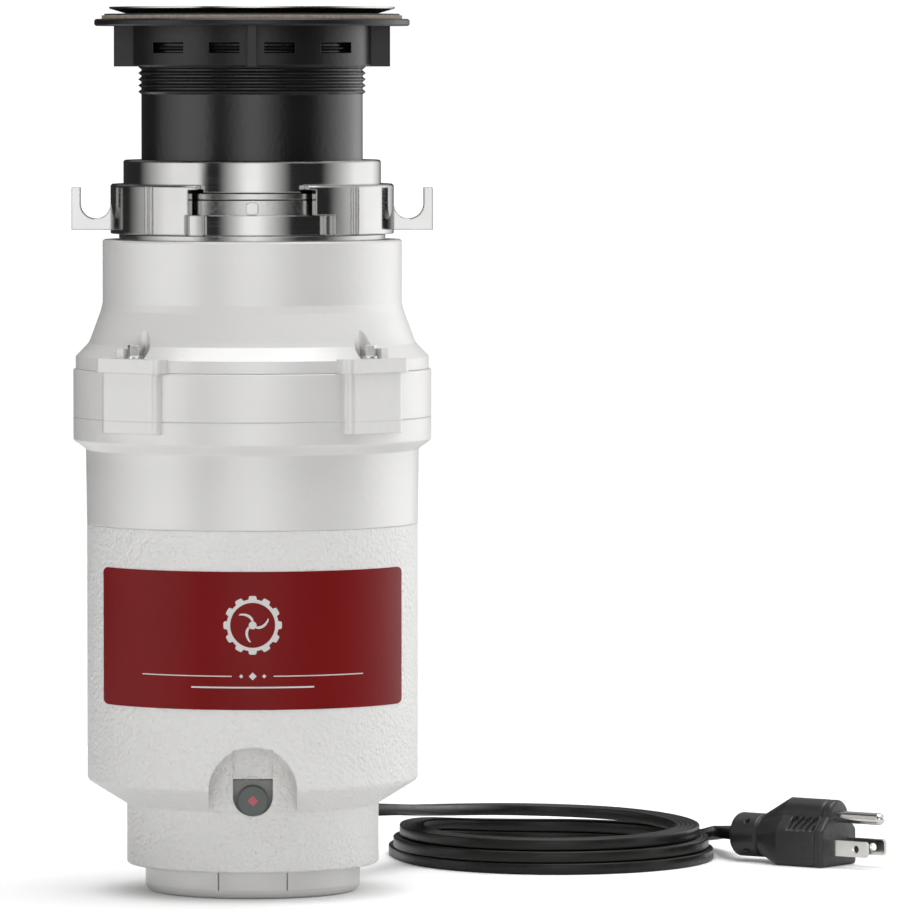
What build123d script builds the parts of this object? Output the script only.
from build123d import *
from math import cos, pi, radians, sin, tan
import os

# Kitchen garbage disposal: a food grinder that hangs under a sink drain.
# Millimetres, +Z up, origin at the centre of the base on the floor, label side facing -Y.

# heights above the floor, from the base to the sink rim
BASE_TOP = 10.9
LOWER_TOP = 34.1
SHELL_LOW = 43.65
SHELL_TOP = 143.0
COVER_TOP = 172.3
CLAMP_LOW = 175.2
CHAMBER_LOW = 184.5
CHAMBER_TOP = 202.9
FLARE_LOW = 208.4
FLARE_MID = 213.8
NECK_LOW = 227.8
HOPPER_TOP = 253.0
RING_LOW = 255.3
BAND_TOP = 263.1
SHOULDER = 274.5
RING_TOP = 283.8
THREAD_LOW = 309.2
NUT_LOW = 319.9
NUT_FLANGE = 335.6
FIBRE_LOW = 338.3
RUBBER_LOW = 339.7
RIM_LOW = 340.3
RIM_TOP = 343.0

# outer radii of the same stack
BASE_R = 41.7
LOWER_R = 48.9
SHELL_R = 64.2
COVER_R = 64.6
CLAMP_R = 69.45
HOPPER_FLANGE_R = 68.5
FLARE_R = 63.05
NECK_R = 58.0
SEAT_RING_R = 51.6
COLLAR_R = 48.5
LEG_R = 54.9
RING_COLLAR_R = 49.9
TAIL_R = 42.9
THREAD_R = 44.0
NUT_R = 46.0
NUT_FLANGE_R = 61.1
FIBRE_R = 58.2
RUBBER_R = 57.2
RIM_R = 55.3

WALL = 2.5
GAP = 0.4
SEAM = 0.3
ROUNDING = 0.6
THREAD_PITCH = 2.4

# the four places where the hopper, the drain chamber and the motor cover are screwed together
BOSS_ANGLES = (48, 132, -132, -48)
BOSS_HALF = 14.6
BOSS_OUT = 71.5
BOSS_DROP = 4.7
SCREW_R = 2.2
SCREW_AT = 66.3

# grinding chamber
BOWL_R = 58.5
BOWL_FLOOR = 161.0
LIP_R = 55.5
GRIND_R = 58.4
GRIND_BORE = 54.5
GRIND_TOP = 219.0
TABLE_R = 54.0
TABLE_LOW = 205.0
TABLE_TOP = 207.5
IMPELLER_AT = 36.0
PIN_R = 2.5
RUNNING = 0.05

# waste outlet and dishwasher inlet, both at the back
OUTLET_BOLT_R = 2.75
OUTLET_FLANGE_HALF_X = 38.0
OUTLET_FLANGE_HALF_Z = 25.0
OUTLET_Z = 180.0
OUTLET_BORE = 18.6
OUTLET_R = 22.4
OUTLET_END = 82.0
OUTLET_FLANGE = 5.0
OUTLET_BOLTS = 58.0
INLET_Z = 238.0
INLET_R = 11.1
INLET_BORE = 8.6
INLET_END = 78.0
INLET_COLLAR_R = 12.8
INLET_COLLAR_END = 60.0

# motor
SHAFT_R = 6.0
BEARING_R = 13.0
LOWER_BEARING_R = 11.0
MOTOR_LOW = 63.0
MOTOR_TOP = 138.0
ARMATURE_R = 46.5
MAGNET_BORE = 47.5
FLUX_BORE = 57.0
FLUX_R = 61.5
COMMUTATOR_R = 14.0
BRACKET_LOW = 45.5
BRACKET_TOP = 48.5
BRUSH_Z = 55.0
BRUSH_HALF_Y = 4.0
BRUSH_HALF_Z = 3.2
BRUSH_BACK = 27.0

# reset recess in the front of the shell
ARCH_R = 16.8
ARCH_Z = 43.65
ARCH_FLOOR_R = 50.0
CHANNEL_HALF = 7.65
CHANNEL_FLOOR_Y = -48.0
LEDGE_Z = 47.1
BUTTON_Z = 38.8
BUTTON_R = 5.86

# sink tail and guard
TAIL_BORE = 39.8
TAIL_LOW = 268.5
GUARD_LOW = 318.0
GUARD_TOP = 336.0
GUARD_R = 38.2
GUARD_HOLE = 10.0

# mount ring
WINDOW_HALF = 26.6
RING_TURN = 46.0
HOOK_END = 70.0
HOOK_LOW = 256.7
HOOK_TOP = 273.0
HOOK_HALF = 5.0
LUG_ANGLES = (-90, 30, 150)

# screws and post in the base
BASE_SCREW_ANGLES = (30, 150, 270)
BASE_SCREW_AT = 38.5
GROUND_AT = 40.5
FLOOR_IN = BASE_TOP + WALL

# label, a thin plate that wraps round the front of the shell
LABEL_LOW = 74.8
LABEL_TOP = 127.6
LABEL_HALF = 63.4
LABEL_THICK = 0.25
LABEL_CORNER = 2.0

# mains cord, a flat cord 10 wide and 4.7 thick, modelled as a round tube of the same section area
CORD_EXIT = 55
EXIT_DIR = Vector(cos(radians(CORD_EXIT)), sin(radians(CORD_EXIT)), 0)
EXIT_SIDE = Vector(-sin(radians(CORD_EXIT)), cos(radians(CORD_EXIT)), 0)
EXIT_Z = 25.5
RELIEF_END = 72.0
CORD_W = 10.0
CORD_T = 4.7
CORD_R = 3.6
COIL_X = 119.5
COIL_Y = 129.0
COIL_SEMI_X = 64.5
COIL_SEMI_Y = 78.0
COIL_TURNS = 3

# plug, lengths along it from the end of its neck
PLUG_TURN = -38
PLUG_NECK_Z = 10.5
BLADE_Z = 8.0
BLADE_AT = 6.35
PIN_Z = 19.9
NECK_END = 12.0
FLARE_END = 24.0
FACE_AT = 44.0
BLADE_OUT = 18.0
BLADE_HOLE = 12.5
EARTH_R = 2.4


def exit_point(distance, side=0, z=EXIT_Z):
    return tuple(EXIT_DIR * distance + EXIT_SIDE * side + Vector(0, 0, z))


# the cord's route: out of the strain relief to the coil, and from the coil to the plug
RUN_POINTS = [
    exit_point(RELIEF_END), exit_point(88.5), (59.2, 93, 24.2), (66, 115, 21.8), (71.5, 139, 19.4),
    (80, 163, 17.2), (93, 183.5, 15.2), (108, 197, 13.2), (124, 202.2, 11.4),
]
TAIL_POINTS = [
    (97.2, 196.7, 3.7), (115.2, 204.3, 3.7), (135.9, 208.1, 3.7), (157.1, 200.7, 3.7),
    (173.1, 184.4, 3.7), (184.4, 163.4, 4.2), (189.2, 142.5, 6.2), (189.5, 128.8, 8.8),
    (193.7, 120.92, 10.5), (200.0, 116.0, 10.5),
]


def disc(radius, low, high, x=0, y=0):
    return Pos(x, y, low) * extrude(Circle(radius), amount=high - low)


def ring(outer, inner, low, high):
    return Pos(0, 0, low) * extrude(Circle(outer) - Circle(inner), amount=high - low)


def block(x0, x1, y0, y1, z0, z1):
    return Pos(x0, y0, z0) * Box(x1 - x0, y1 - y0, z1 - z0, align=(Align.MIN,) * 3)


def turned(*points):
    outline = Polyline(*[(r, 0, z) for r, z in points], close=True)
    return revolve(make_face(outline), axis=Axis.Z)


def rod(radius, start, end):
    axis = Vector(*end) - Vector(*start)
    plane = Plane(origin=start, z_dir=axis)
    return extrude(plane * Circle(radius), amount=axis.length)


def sector(outer, inner, low, high, middle, half):
    points = [(0, 0)]
    for step in range(-4, 5):
        angle = radians(middle + half * step / 4)
        points.append((2 * outer * cos(angle), 2 * outer * sin(angle)))
    wedge = extrude(make_face(Polyline(*points, close=True)), amount=high - low)
    return ring(outer, inner, low, high) & (Pos(0, 0, low) * wedge)


def turn(shape, angle):
    return Rot(0, 0, angle) * shape


def save(name, *solids):
    shape = solids[0] if len(solids) == 1 else Compound(children=list(solids))
    export_step(shape, f"parts/{name}.step")


def rounded_boss(half, out, low, high, corner):
    body = block(58, out, -half, half, low, high)
    edges = body.edges().filter_by(Axis.Z).group_by(Axis.X)[-1]
    return fillet(edges, corner)


# ---- sink flange, gaskets and nut

def sink_flange_rim():
    skirt_in, skirt_out, skirt_low = 38.7, 39.7, 331.0
    return turned(
        (skirt_in, skirt_low), (skirt_out, skirt_low), (skirt_out, RIM_LOW), (48.5, RIM_LOW),
        (RIM_R, RIM_TOP - 0.7), (RIM_R, RIM_TOP), (52.0, RIM_TOP - 0.4), (44.0, 341.2), (skirt_in, 340.6),
    )


def sink_flange_tail():
    ledge = 36.5
    points = [(TAIL_BORE, TAIL_LOW), (TAIL_R, TAIL_LOW), (TAIL_R, THREAD_LOW)]
    z = THREAD_LOW
    while z + THREAD_PITCH < FIBRE_LOW:
        points += [(THREAD_R, z + 0.35 * THREAD_PITCH), (THREAD_R, z + 0.45 * THREAD_PITCH)]
        points += [(TAIL_R, z + 0.8 * THREAD_PITCH), (TAIL_R, z + THREAD_PITCH)]
        z += THREAD_PITCH
    points += [(TAIL_R, RIM_LOW), (TAIL_BORE, RIM_LOW), (TAIL_BORE, GUARD_LOW)]
    points += [(ledge, GUARD_LOW), (ledge, GUARD_LOW - 2), (TAIL_BORE, GUARD_LOW - 5)]
    return turned(*points)


def rubber_gasket():
    return ring(RUBBER_R, THREAD_R + GAP, RUBBER_LOW, RIM_LOW)


def fibre_gasket():
    return ring(FIBRE_R, THREAD_R + GAP, FIBRE_LOW, RUBBER_LOW)


def support_nut():
    bore = THREAD_R + GAP
    body = turned(
        (bore, NUT_LOW), (NUT_R - ROUNDING, NUT_LOW), (NUT_R, NUT_LOW + ROUNDING), (NUT_R, NUT_FLANGE),
        (NUT_FLANGE_R - ROUNDING, NUT_FLANGE), (NUT_FLANGE_R, NUT_FLANGE + ROUNDING),
        (NUT_FLANGE_R, FIBRE_LOW - ROUNDING), (NUT_FLANGE_R - ROUNDING, FIBRE_LOW), (bore, FIBRE_LOW),
    )
    for angle in (0, 90, 180, 270):
        wing = block(NUT_R - 0.9, 53.5, -2.15, 2.15, NUT_LOW, NUT_FLANGE)
        wing = fillet(wing.edges().filter_by(Axis.Z).group_by(Axis.X)[-1], ROUNDING)
        body += turn(wing, angle)
    for x in (-32.2, -10.6, 10.6, 32.2):
        body -= block(x - 5.8, x + 5.8, -60, 60, 325.15, 329.25)
    return body


def splash_guard():
    cup = turned(
        (GUARD_HOLE, GUARD_LOW), (GUARD_R, GUARD_LOW), (GUARD_R, GUARD_TOP), (GUARD_R - 1.6, GUARD_TOP),
        (GUARD_R - 1.8, GUARD_LOW + 2.5), (GUARD_HOLE, GUARD_LOW + 2),
    )
    for angle in range(0, 360, 45):
        cup -= turn(block(9, 33, -0.4, 0.4, 317, 322), angle + 22.5)
    return cup


# ---- twist lock

def lock_flange():
    return ring(48.3, TAIL_R + RUNNING, 269.1, 271.3)


def cushion_mount():
    return turned(
        (39.9, HOPPER_TOP), (45.2, HOPPER_TOP), (45.2, 268.4), (40.4, 268.4), (39.9, 266.0)
    )


def hopper_collar():
    body = ring(COLLAR_R, 45.4, HOPPER_TOP, 268.7) + ring(SEAT_RING_R, 45.4, HOPPER_TOP, 255.0)
    for angle in LUG_ANGLES:
        lug = block(COLLAR_R - 1, 50.8, -2.2, 2.2, BAND_TOP + 0.3, BAND_TOP + 4.8)
        ends = lug.edges().filter_by(Axis.X)
        body += turn(fillet(ends, 1.2), angle)
    return body


def hook():
    slot_mid = 60.7
    slot_r = 5.8
    arm = block(53.6, HOOK_END, -HOOK_HALF, HOOK_HALF, HOOK_LOW, HOOK_TOP)
    arm -= rod(slot_r, (slot_mid, -9, 266.8), (slot_mid, 9, 266.8))
    arm -= block(slot_mid - slot_r, slot_mid + slot_r, -9, 9, 266.8, 280)
    arm -= block(50, slot_mid, -9, 9, 266.8, 280)
    return arm


def ring_window(angle):
    upper = sector(60, 48.6, BAND_TOP, SHOULDER - 1.6, angle, WINDOW_HALF)
    shoulder = sector(60, RING_COLLAR_R, SHOULDER - 1.6, SHOULDER, angle, WINDOW_HALF - 3.5)
    band = sector(60, 50.5, 250, BAND_TOP, angle + 5.7, WINDOW_HALF)
    step = sector(60, 52.8, 250, BAND_TOP, angle + 3.8, WINDOW_HALF + 5.2)
    return [upper, shoulder, band, step]


def mount_ring():
    bore = TAIL_R + GAP
    ceiling = SHOULDER - 1.6
    body = turned(
        (48.8, RING_LOW), (LEG_R - SEAM, RING_LOW), (LEG_R, RING_LOW + SEAM), (LEG_R, SHOULDER - ROUNDING),
        (LEG_R - ROUNDING, SHOULDER), (RING_COLLAR_R, SHOULDER), (RING_COLLAR_R, RING_TOP - ROUNDING),
        (RING_COLLAR_R - ROUNDING, RING_TOP), (bore, RING_TOP), (bore, ceiling),
        (51.2, ceiling), (51.2, BAND_TOP), (48.8, BAND_TOP),
    )
    for angle in (-136, -44, 90):
        for side in (-1.4, 1.4):
            rib = disc(0.8, RING_LOW + SEAM, SHOULDER - ROUNDING, LEG_R + 0.05)
            body += turn(rib, angle + side)
    for cut in ring_window(-90):
        body -= cut
    for angle in (33, 147):
        body -= sector(60, 48.6, BAND_TOP, ceiling, angle, 22)
        body -= sector(60, 50.5, 250, BAND_TOP, angle, 22)
    for angle in LUG_ANGLES:
        body += sector(RING_COLLAR_R, 46.4, 271.7, ceiling, angle, 22)
        channel = block(46, 51.2, -3.4, 3.4, 250, BAND_TOP + 1)
        body -= turn(channel, angle - RING_TURN)
    for angle in (0, 180):
        body += turn(hook(), angle)
    return body


# ---- hopper and grinding chamber

def hopper():
    body = turned(
        (58.6, CHAMBER_TOP), (HOPPER_FLANGE_R - SEAM, CHAMBER_TOP), (HOPPER_FLANGE_R, CHAMBER_TOP + SEAM),
        (HOPPER_FLANGE_R, FLARE_LOW - ROUNDING), (HOPPER_FLANGE_R - ROUNDING, FLARE_LOW),
        (FLARE_R + 0.5, FLARE_MID - 0.9), (FLARE_R - 0.3, FLARE_MID + 0.8), (NECK_R + 0.7, NECK_LOW - 2.2),
        (NECK_R, NECK_LOW + 0.8), (NECK_R, HOPPER_TOP - ROUNDING), (NECK_R - ROUNDING, HOPPER_TOP),
        (40.0, HOPPER_TOP), (40.0, 250.0), (55.0, 250.0), (55.0, 224.5), (58.6, 219.5),
    )
    for angle, side in zip(BOSS_ANGLES, (-5.5, 5.5, -5.5, 5.5)):
        boss = rounded_boss(16.4, 72.8, CHAMBER_TOP, FLARE_LOW, 3)
        boss -= disc(62, 200, 210)
        body += turn(boss, angle)
        body -= turn(disc(5.2, FLARE_LOW, 225, SCREW_AT), angle)
        body += turn(block(65.6, 69.6, side - 1.8, side + 1.8, FLARE_LOW - 1, 212.2), angle)
        body -= turn(disc(SCREW_R + 0.5, 200, 210, SCREW_AT), angle)
    body += rod(INLET_COLLAR_R, (0, 56.5, INLET_Z), (0, INLET_COLLAR_END, INLET_Z))
    body += rod(INLET_R, (0, 56.5, INLET_Z), (0, INLET_END, INLET_Z))
    body -= rod(INLET_BORE, (0, 50, INLET_Z), (0, INLET_END + 1, INLET_Z))
    return body


def dishwasher_plug():
    return rod(INLET_BORE, (0, 55.6, INLET_Z), (0, 58.2, INLET_Z))


def body_gasket():
    return ring(62.05, 59.95, 200.95, CHAMBER_TOP)


def grind_ring():
    body = ring(GRIND_R, GRIND_BORE, CHAMBER_TOP, GRIND_TOP)
    teeth = 30
    for n in range(teeth):
        body -= turn(block(50, GRIND_BORE + 1.6, -1.4, 1.4, 209, 230), n * 360 / teeth)
    return body


def drain_chamber():
    bearing_seat = BEARING_R + 0.02
    body = turned(
        (61.2, 158.0), (61.2, CHAMBER_LOW), (CLAMP_R - SEAM, CHAMBER_LOW), (CLAMP_R, CHAMBER_LOW + SEAM),
        (CLAMP_R, CHAMBER_TOP - SEAM), (CLAMP_R - SEAM, CHAMBER_TOP), (LIP_R, CHAMBER_TOP),
        (LIP_R, 200.0), (BOWL_R, 197.0),
        (BOWL_R, BOWL_FLOOR), (16.0, BOWL_FLOOR), (16.0, 176.0), (10.0, 176.0), (10.0, 157.0),
        (bearing_seat, 157.0), (bearing_seat, 148.0), (16.5, 148.0), (16.5, 158.0),
    )
    for angle in BOSS_ANGLES:
        boss = rounded_boss(BOSS_HALF, BOSS_OUT, CHAMBER_LOW, CHAMBER_TOP, 3)
        boss -= disc(64, 180, 210)
        body += turn(boss, angle)
    pipe = rod(OUTLET_R, (0, 56, OUTLET_Z), (0, OUTLET_END, OUTLET_Z))
    pipe -= disc(59.5, 150, 210)
    half_x = OUTLET_FLANGE_HALF_X
    low, high = OUTLET_Z - OUTLET_FLANGE_HALF_Z, OUTLET_Z + OUTLET_FLANGE_HALF_Z
    flange = block(-half_x, half_x, OUTLET_END - OUTLET_FLANGE, OUTLET_END, low, high)
    flange = fillet(flange.edges().filter_by(Axis.Y), 14)
    body += pipe
    body += flange
    body -= rod(OUTLET_BORE, (0, 50, OUTLET_Z), (0, OUTLET_END + 1, OUTLET_Z))
    for x in (-OUTLET_BOLTS / 2, OUTLET_BOLTS / 2):
        body -= rod(OUTLET_BOLT_R, (x, 70, OUTLET_Z), (x, OUTLET_END + 1, OUTLET_Z))
    for angle in BOSS_ANGLES:
        body -= turn(disc(SCREW_R + 0.5, 180, 210, SCREW_AT), angle)
    body -= ring(62.1, 59.9, 200.9, CHAMBER_TOP + 1)
    return body


def housing_screw(angle):
    head = Pos(SCREW_AT, 0, FLARE_LOW + 1) * extrude(RegularPolygon(3.3, 6), amount=4.2)
    washer = disc(3.6, FLARE_LOW, FLARE_LOW + 1, SCREW_AT)
    shank = disc(SCREW_R, CHAMBER_LOW - 4.5, FLARE_LOW, SCREW_AT)
    return turn(head + washer + shank, angle)


def turntable():
    body = ring(TABLE_R, SHAFT_R, TABLE_LOW, TABLE_TOP) + ring(12, SHAFT_R, 198.0, TABLE_LOW)
    for angle in range(15, 375, 30):
        hole = disc(2.2, 200, 210, 47)
        body -= turn(hole, angle)
    for x in (-IMPELLER_AT, IMPELLER_AT):
        body -= disc(PIN_R, 200, 210, x)
    return body


def impeller(side):
    x = IMPELLER_AT
    low = TABLE_TOP + 0.3
    arm = block(x, x + 11, -6.5, 6.5, low, low + 5) + disc(6.5, low, low + 5, x + 11)
    arm += disc(6.5, low, low + 5, x)
    arm += block(x + 9, x + 15.4, -4.2, 4.2, low + 5, low + 9)
    arm -= disc(PIN_R + RUNNING, 200, 220, x)
    return turn(arm, 0 if side > 0 else 180)


def impeller_pin(x):
    shank = disc(PIN_R, TABLE_LOW, 213.2, x)
    head = disc(4.6, 213.2, 215.2, x)
    tail = disc(3.4, TABLE_LOW - 1.2, TABLE_LOW, x)
    return shank + head + tail


def turntable_nut():
    body = Pos(0, 0, TABLE_TOP) * extrude(RegularPolygon(9.5, 6), amount=6)
    return body - disc(SHAFT_R, 200, 220)


# ---- shaft, seals and bearings

def motor_shaft():
    return disc(SHAFT_R, 41.5, 212.6) + disc(4.0, 212.6, 214.0)


def shaft_seal():
    return ring(10.0, SHAFT_R + RUNNING, BOWL_FLOOR, 169.0)


def slinger():
    return turned((SHAFT_R, 177.0), (14.0, 177.6), (14.0, 178.8), (9.0, 180.4), (SHAFT_R, 180.4))


def upper_bearing():
    return ring(BEARING_R, SHAFT_R + RUNNING, 149.0, 157.0)


def lower_bearing():
    return ring(LOWER_BEARING_R, SHAFT_R + RUNNING, 40.2, BRACKET_TOP - 0.3)


# ---- motor

def armature_core():
    low, high = 72.0, 128.0
    body = ring(ARMATURE_R, SHAFT_R, low, high)
    slots = 16
    for n in range(slots):
        mouth = block(36, 50, -1.2, 1.2, low - 1, high + 1)
        pocket = disc(3.6, low - 1, high + 1, 36)
        body -= turn(mouth + pocket, n * 360 / slots)
    return body


def armature_windings():
    ends = []
    for low, high in ((62.5, 72.0), (128.0, 137.5)):
        outline = [(16, low + 3), (24, low), (34, low), (41, low + 3), (41, high - 3), (38, high), (16, high)]
        ends.append(turned(*outline))
    return ends


def commutator():
    body = ring(COMMUTATOR_R, SHAFT_R, 49.6, 61.0)
    bars = 16
    for n in range(bars):
        body -= turn(block(12.6, 15, -0.25, 0.25, 49, 62), n * 360 / bars)
    return body


def flux_ring():
    return ring(FLUX_R, FLUX_BORE, MOTOR_LOW, MOTOR_TOP)


def field_magnet(angle):
    return sector(FLUX_BORE - 0.05, MAGNET_BORE, 66.0, 134.0, angle, 36)


def motor_bracket():
    body = turned(
        (6.6, 38.4), (LOWER_BEARING_R + 3, 38.4), (LOWER_BEARING_R + 3, BRACKET_LOW),
        (61.4, BRACKET_LOW), (61.4, BRACKET_TOP), (LOWER_BEARING_R, BRACKET_TOP),
        (LOWER_BEARING_R, 40.2), (6.6, 40.2),
    )
    body -= block(-20, 20, -70, -42.8, 40, 50)
    for angle in (45, 135, 225):
        body -= turn(disc(6, 40, 50, 40), angle)
    for x in (-50, 50):
        body -= disc(1.5, 40, 50, x, 12)
    return body


def bracket_screw(x):
    return disc(1.5, BRACKET_LOW, BRACKET_TOP, x, 12) + disc(2.9, BRACKET_TOP, BRACKET_TOP + 2, x, 12)


def brush_holder():
    wall = 1.4
    half_y = BRUSH_HALF_Y + wall
    half_z = BRUSH_HALF_Z + wall
    slot_y = BRUSH_HALF_Y + 0.1
    slot_z = BRUSH_HALF_Z + 0.1
    body = block(16.5, 41, -half_y, half_y, BRUSH_Z - half_z, BRUSH_Z + half_z)
    body -= block(16, 40, -slot_y, slot_y, BRUSH_Z - slot_z, BRUSH_Z + slot_z)
    body += block(24, 36, -half_y, half_y, BRACKET_TOP, BRUSH_Z - half_z)
    return body


def brush():
    front = COMMUTATOR_R + 0.35
    low, high = BRUSH_Z - BRUSH_HALF_Z, BRUSH_Z + BRUSH_HALF_Z
    return block(front, BRUSH_BACK, -BRUSH_HALF_Y, BRUSH_HALF_Y, low, high)


def brush_spring():
    pitch = 1.6
    points = [(1.5, 0), (2.9, 0)]
    for n in range(6):
        points += [(2.3, pitch * (n + 0.5)), (2.9, pitch * (n + 1))]
    points.append((1.5, pitch * 6))
    return Pos(BRUSH_BACK, 0, BRUSH_Z) * Rot(0, 90, 0) * turned(*points)


# ---- motor housing

def motor_cover():
    inner = SHELL_R - WALL
    body = turned(
        (inner, SHELL_TOP), (SHELL_R - SEAM, SHELL_TOP), (SHELL_R, SHELL_TOP + SEAM),
        (COVER_R, COVER_TOP - ROUNDING), (COVER_R + ROUNDING, COVER_TOP + 0.1),
        (CLAMP_R - ROUNDING, CLAMP_LOW - 0.2), (CLAMP_R, CLAMP_LOW + ROUNDING),
        (CLAMP_R, CHAMBER_LOW - SEAM), (CLAMP_R - SEAM, CHAMBER_LOW), (inner, CHAMBER_LOW),
    )
    for angle in BOSS_ANGLES:
        boss = rounded_boss(BOSS_HALF, BOSS_OUT, CHAMBER_LOW - BOSS_DROP, CHAMBER_LOW, 3)
        body += turn(boss - disc(64, 170, 190), angle)
        body -= turn(disc(SCREW_R + 0.02, CHAMBER_LOW - 4.5, 190, SCREW_AT), angle)
    relief = OUTLET_R + 0.3
    body -= rod(relief, (0, 50, OUTLET_Z), (0, 90, OUTLET_Z))
    body -= block(-relief, relief, 50, 90, OUTLET_Z, 190)
    return body


def arch(radius, low, y_out, y_in):
    top = rod(radius, (0, y_out, ARCH_Z), (0, y_in, ARCH_Z))
    legs = block(-radius, radius, y_out, y_in, low, ARCH_Z)
    return (top + legs) & block(-radius, radius, y_out, y_in, low, ARCH_Z + radius)


def motor_shell():
    shell_in = SHELL_R - WALL
    lower_in = LOWER_R - WALL
    body = turned(
        (36, BASE_TOP), (LOWER_R - ROUNDING, BASE_TOP), (LOWER_R, BASE_TOP + ROUNDING),
        (LOWER_R, LOWER_TOP), (SHELL_R - ROUNDING, SHELL_LOW - 0.4), (SHELL_R, SHELL_LOW + ROUNDING),
        (SHELL_R, SHELL_TOP - SEAM), (SHELL_R - SEAM, SHELL_TOP), (shell_in, SHELL_TOP),
        (shell_in, SHELL_LOW + 1.2), (lower_in, LOWER_TOP + 1.3), (lower_in, FLOOR_IN), (36, FLOOR_IN),
    )
    envelope = turned(
        (0, BASE_TOP), (LOWER_R, BASE_TOP), (LOWER_R, LOWER_TOP), (62.5, SHELL_LOW - 1), (62.5, 70), (0, 70)
    )
    pocket = arch(ARCH_R + 2, 32.5, -66, -40) & envelope
    body += pocket - disc(lower_in + 1.2, 20, 80)
    body -= arch(ARCH_R, LOWER_TOP - 0.4, -70, -40) - disc(ARCH_FLOOR_R, 20, 80)
    body -= block(-CHANNEL_HALF, CHANNEL_HALF, -70, CHANNEL_FLOOR_Y, LEDGE_Z, 59.5)
    niche_mid = 40.5
    body -= block(-CHANNEL_HALF, CHANNEL_HALF, -70, -40, niche_mid, LEDGE_Z)
    body -= rod(CHANNEL_HALF, (0, -70, niche_mid), (0, -40, niche_mid))
    body -= rod(6.3, exit_point(40), exit_point(60))
    body -= disc(2.05, 5, 20, 0, GROUND_AT)
    for angle in BASE_SCREW_ANGLES:
        body -= turn(disc(1.6, 5, 20, BASE_SCREW_AT), angle)
    return body


def base_cap():
    inner = BASE_R - 2.4
    body = turned(
        (0, 0), (38.7, 0), (39.8, 0.3), (40.7, 0.9), (41.4, 2.1), (BASE_R, 3.4), (BASE_R, BASE_TOP),
        (BASE_R - 6, BASE_TOP), (BASE_R - 6, 8.4), (inner, 8.4), (inner, WALL), (0, WALL),
    )
    for x in (-13.2, 13.2):
        body -= block(x - 0.2, x + 0.2, -BASE_R - 1, -BASE_R + 4, 3.4, 20)
    for angle in BASE_SCREW_ANGLES:
        body -= turn(disc(1.6, 5, 20, BASE_SCREW_AT), angle)
    return body


def base_screw(angle):
    shank = disc(1.5, 8.4, FLOOR_IN, BASE_SCREW_AT)
    head = disc(2.8, FLOOR_IN, FLOOR_IN + 1.8, BASE_SCREW_AT)
    return turn(shank + head, angle)


# ---- reset switch

def overload_protector():
    return block(-9, 9, -43.5, -28, 28, 44.5) + block(-6, 6, -28, -24, 30, 42)


def reset_bezel():
    plate = block(-9.5, 9.5, -45.2, -43.7, 31.0, 46.5)
    return plate - rod(4.4, (0, -50, BUTTON_Z), (0, -40, BUTTON_Z))


def reset_button():
    cap = rod(BUTTON_R, (0, -46.0, BUTTON_Z), (0, -50.2, BUTTON_Z))
    cap = chamfer(cap.edges().group_by(Axis.Y)[0], 0.4)
    stem = rod(4.0, (0, -46.0, BUTTON_Z), (0, -43.8, BUTTON_Z))
    mark = diamond(-50.2, 0.3)
    return cap + stem - mark


def diamond(front, depth):
    half = 2.1
    corners = [(half, 0), (0, half), (-half, 0), (0, -half)]
    face = make_face(Polyline(*[(x, front, BUTTON_Z + z) for x, z in corners], close=True))
    return extrude(face, amount=depth, dir=(0, 1, 0))


def reset_mark():
    return diamond(-50.2, 0.3)


# ---- electrical parts in the lower housing

def rectifier():
    top = FLOOR_IN + 7
    body = block(-28, -4, 4, 28, FLOOR_IN, top)
    for x, y in ((-24, 8), (-8, 8), (-24, 24), (-8, 24)):
        body += block(x - 0.4, x + 0.4, y - 2.4, y + 2.4, top, top + 7)
    return body - disc(2, 10, 40, -16, 16)


def ground_screw():
    shank = disc(2.0, BASE_TOP, FLOOR_IN, 0, GROUND_AT)
    head = disc(4.0, FLOOR_IN, FLOOR_IN + 2.4, 0, GROUND_AT)
    return head + shank


def front_label():
    plate = ring(SHELL_R + LABEL_THICK, SHELL_R, LABEL_LOW, LABEL_TOP)
    half_x = SHELL_R * sin(radians(LABEL_HALF))
    middle = (LABEL_LOW + LABEL_TOP) / 2
    outline = RectangleRounded(2 * half_x, LABEL_TOP - LABEL_LOW, LABEL_CORNER)
    front = Plane(origin=(0, 0, middle), x_dir=(1, 0, 0), z_dir=(0, -1, 0))
    return plate & extrude(front * outline, amount=2 * SHELL_R)


# ---- mains cord and plug

def bend_radii(points):
    radii = []
    for before, here, after in zip(points, points[1:], points[2:]):
        run_in = Vector(*here) - Vector(*before)
        run_out = Vector(*after) - Vector(*here)
        half_turn = radians(run_in.get_angle(run_out)) / 2
        radii.append(0.45 * min(run_in.length, run_out.length) / tan(half_turn))
    return radii


def tube(points, radius):
    radii = bend_radii(points)
    path = FilletPolyline(*points, radius=radii)
    profile = Plane(origin=path @ 0, z_dir=path % 0) * Circle(radius)
    body = sweep(profile, path=path)
    plain_volume = pi * radius**2 * path.length
    print("length", round(path.length, 1), "volume ratio", round(body.volume / plain_volume, 4))
    print("radii", [round(r, 1) for r in radii])
    return body


def strain_relief():
    nut_low, neck_low, collar_low, boot_low = 42.0, 45.4, 49.0, 52.0
    sections = []
    for distance, radius in ((boot_low, 6.4), (RELIEF_END, 5.2)):
        sections.append(Plane(origin=exit_point(distance), z_dir=EXIT_DIR) * Circle(radius))
    boot = loft(sections)
    for distance in (56.0, 60.0, 64.0, 68.0):
        groove = rod(9.0, exit_point(distance), exit_point(distance + 1.2))
        core = rod(5.0, exit_point(distance - 1), exit_point(distance + 2.2))
        boot -= groove - core
    collar = rod(8.4, exit_point(collar_low), exit_point(boot_low))
    neck = rod(6.2, exit_point(neck_low), exit_point(collar_low))
    nut = rod(8.4, exit_point(nut_low), exit_point(neck_low))
    return boot + collar + neck + nut


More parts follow.
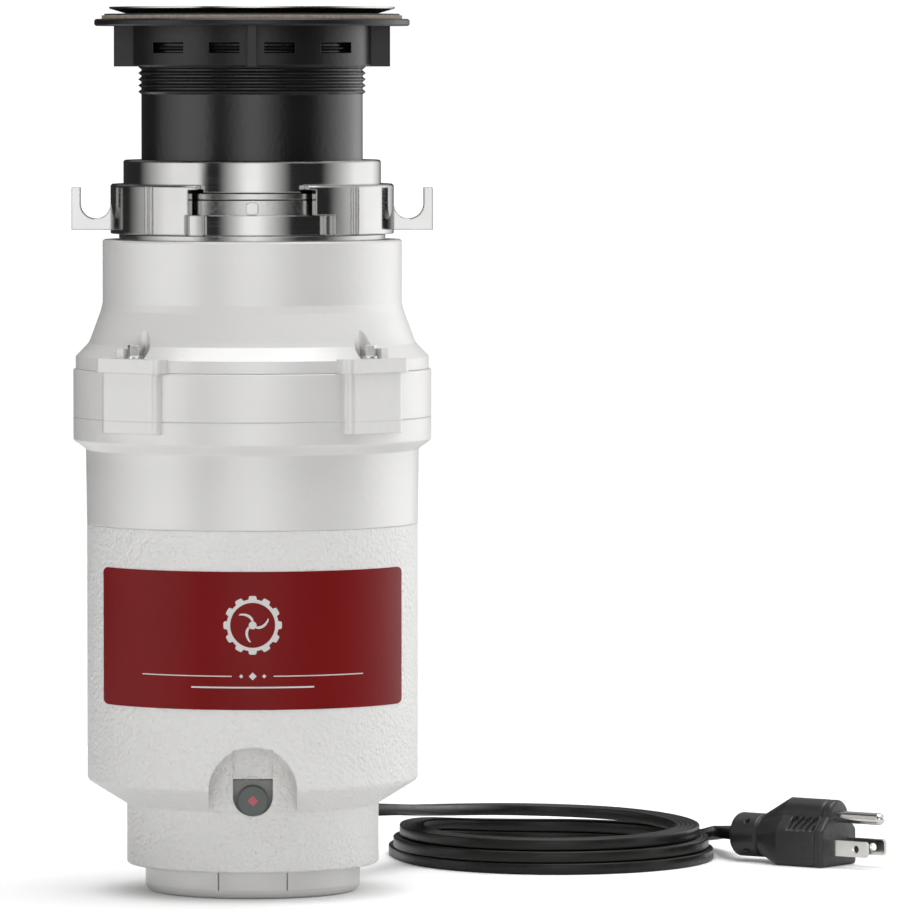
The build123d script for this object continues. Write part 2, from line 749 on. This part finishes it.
def cord_coil():
    outline = Ellipse(COIL_SEMI_X, COIL_SEMI_Y) - Ellipse(COIL_SEMI_X - CORD_W, COIL_SEMI_Y - CORD_W)
    return Pos(COIL_X, COIL_Y, 0) * extrude(outline, amount=COIL_TURNS * CORD_T)


def placed_plug(shape):
    return Pos(TAIL_POINTS[-1][0], TAIL_POINTS[-1][1], 0) * Rot(0, 0, PLUG_TURN) * shape


def blade(v):
    half_thick = 0.75
    half_high = 3.175
    root, tip = FACE_AT - 6, FACE_AT + BLADE_OUT
    low, high = BLADE_Z - half_high, BLADE_Z + half_high
    bar = block(root, tip, v - half_thick, v + half_thick, low, high)
    tip_edges = bar.edges().filter_by(Axis.Y).group_by(Axis.X)[-1]
    bar = chamfer(tip_edges, 0.9)
    hole_at = FACE_AT + BLADE_HOLE
    return bar - rod(1.6, (hole_at, v - 2, BLADE_Z), (hole_at, v + 2, BLADE_Z))


def earth_pin():
    root = FACE_AT - 6
    tip = FACE_AT + 19.0
    shank = rod(EARTH_R, (root, 0, PIN_Z), (tip, 0, PIN_Z))
    return shank + Pos(tip, 0, PIN_Z) * Sphere(EARTH_R)


def plug_moulding():
    neck_z = PLUG_NECK_Z
    neck = rod(8.8, (0, 0, neck_z), (NECK_END, 0, neck_z))
    low = Plane(origin=(NECK_END, 0, neck_z), x_dir=(0, 1, 0), z_dir=(1, 0, 0))
    high = Plane(origin=(FLARE_END, 0, 13.4), x_dir=(0, 1, 0), z_dir=(1, 0, 0))
    flare = loft([low * RectangleRounded(17.0, 17.0, 8.2), high * RectangleRounded(24.0, 26.0, 6.0)])
    corners = [(-12.5, 0.3), (-12.5, 14.6), (-6.8, 20), (6.8, 20), (12.5, 14.6), (12.5, 0.3)]
    outline = make_face(Polyline(*[(FLARE_END, v, z) for v, z in corners], close=True))
    box = extrude(outline, amount=FACE_AT - FLARE_END, dir=(1, 0, 0))
    housing = rod(6.8, (FLARE_END, 0, PIN_Z), (FACE_AT, 0, PIN_Z))
    base = block(FLARE_END, FACE_AT, -11.5, 11.5, 0, 0.3)
    body = neck + flare + box + housing + base
    return body - blade(-BLADE_AT) - blade(BLADE_AT) - earth_pin()


def lead_wires():
    routes = (
        [exit_point(42, -3), exit_point(34, -3), (9, 6, 31), (3, -12, 35), (3, -23.9, 35)],
        [exit_point(42, 0, 28.5), exit_point(35, 0, 28.5), (4, 24, 26), (-7.5, 24, 26)],
        [exit_point(42, 3, 22.5), exit_point(38, 3, 22.5), (9, 36.5, 18.5), (4.5, 39.5, 17.2)],
    )
    return [tube(points, 1.1) for points in routes]


# ---- every node, from the sink down

def main():
    os.makedirs("parts", exist_ok=True)
    save("sink_flange_rim", sink_flange_rim())
    save("sink_flange_tail", sink_flange_tail())
    save("rubber_gasket", rubber_gasket())
    save("fibre_gasket", fibre_gasket())
    save("support_nut", support_nut())
    save("splash_guard", splash_guard())
    save("lock_flange", lock_flange())
    save("cushion_mount", cushion_mount())
    save("hopper_collar", hopper_collar())
    save("mount_ring", mount_ring())
    save("hopper", hopper())
    save("dishwasher_plug", dishwasher_plug())
    save("body_gasket", body_gasket())
    save("grind_ring", grind_ring())
    save("drain_chamber", drain_chamber())
    save("housing_screws", *[housing_screw(a) for a in BOSS_ANGLES])
    save("turntable", turntable())
    save("impeller_a", impeller(1))
    save("impeller_b", impeller(-1))
    save("impeller_pins", impeller_pin(IMPELLER_AT), impeller_pin(-IMPELLER_AT))
    save("turntable_nut", turntable_nut())
    save("motor_shaft", motor_shaft())
    save("shaft_seal", shaft_seal())
    save("slinger", slinger())
    save("upper_bearing", upper_bearing())
    save("lower_bearing", lower_bearing())
    save("armature_core", armature_core())
    save("armature_windings", *armature_windings())
    save("commutator", commutator())
    save("flux_ring", flux_ring())
    save("field_magnets", *[field_magnet(a) for a in (45, 135, 225, 315)])
    save("motor_bracket", motor_bracket())
    save("bracket_screws", bracket_screw(-50), bracket_screw(50))
    for name, angle in (("a", 0), ("b", 180)):
        save(f"brush_holder_{name}", turn(brush_holder(), angle))
        save(f"brush_{name}", turn(brush(), angle))
        save(f"brush_spring_{name}", turn(brush_spring(), angle))
    save("motor_cover", motor_cover())
    save("motor_shell", motor_shell())
    save("base_cap", base_cap())
    save("base_screws", *[base_screw(a) for a in BASE_SCREW_ANGLES])
    save("overload_protector", overload_protector())
    save("reset_bezel", reset_bezel())
    save("reset_button", reset_button())
    save("reset_mark", reset_mark())
    save("rectifier", rectifier())
    save("ground_screw", ground_screw())
    save("lead_wires", *lead_wires())
    save("front_label", front_label())
    save("strain_relief", strain_relief())
    save("cord_run", tube(RUN_POINTS, CORD_R))
    save("cord_coil", cord_coil())
    save("cord_tail", tube(TAIL_POINTS, CORD_R))
    save("plug_body", placed_plug(plug_moulding()))
    save("plug_blades", placed_plug(blade(-BLADE_AT)), placed_plug(blade(BLADE_AT)))
    save("plug_ground_pin", placed_plug(earth_pin()))


main()
